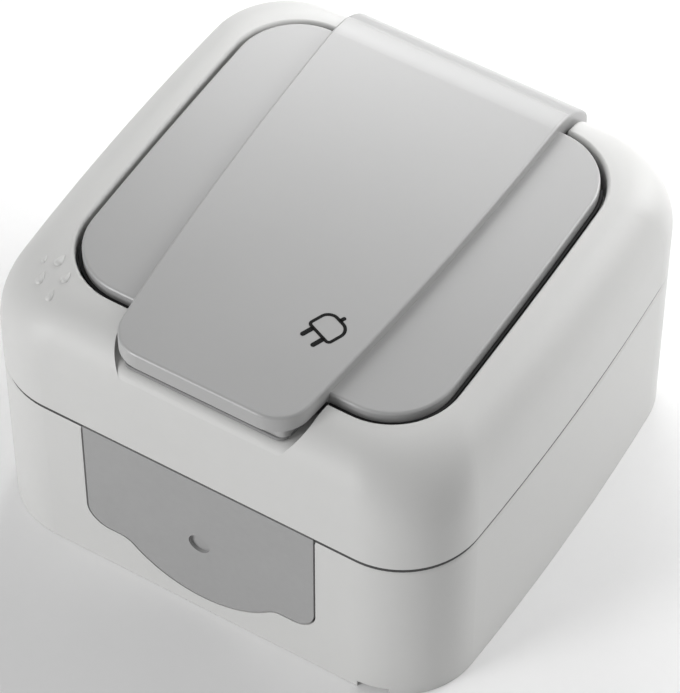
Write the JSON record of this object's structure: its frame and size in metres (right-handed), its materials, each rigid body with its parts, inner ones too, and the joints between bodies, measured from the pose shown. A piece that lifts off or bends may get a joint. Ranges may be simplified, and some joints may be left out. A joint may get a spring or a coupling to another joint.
{
  "type": "weatherproof socket",
  "caption": "Surface-mounted weatherproof mains socket with a sprung hinged lid, a pillow-rimmed cover, a wall box and a rubber cable membrane.",
  "frame": {"origin": "middle of the wall face, at the back of the box", "axes": "+Z out of the wall, +Y towards the hinge (up on the wall), -Y towards the cable entry"},
  "size_m": [0.076, 0.0746, 0.0494],
  "materials": {
    "shell": "satin moulded light grey plastic",
    "lid": "satin moulded mid grey plastic",
    "membrane": "soft grey rubber",
    "seal": "black rubber",
    "well": "light grey plastic",
    "insulator": "off-white plastic",
    "brass": "stamped brass",
    "steel": "zinc-plated steel"
  },
  "bodies": {
    "housing": {"base_box": "shell", "box_gasket": "seal", "cable_membrane": "membrane", "cover_frame": "shell", "cover_screws": "steel", "hinge_pin": "steel", "lid_spring": "steel", "socket_insert": "well", "insert_screw": "steel", "contact_carrier": "insulator", "carrier_screws": "steel", "line_contact": "brass", "neutral_contact": "brass", "earth_bracket": "steel", "earth_terminal": "steel", "terminal_screws": "steel", "line_clamp": "steel", "earth_clamp": "steel", "neutral_clamp": "steel"},
    "lid": {"lid": "lid", "lid_seal": "seal"}
  },
  "joints": [
    {"name": "lid_hinge", "type": "hinge", "parent": "housing", "child": "lid", "pos_m": [0, 0.0342, 0.0425], "axis": [-1, 0, 0], "range_deg": [0, 105], "stiffness_Nm_per_rad": 0.012, "springref_deg": -34.38, "deforming": ["lid_spring"]}
  ]
}
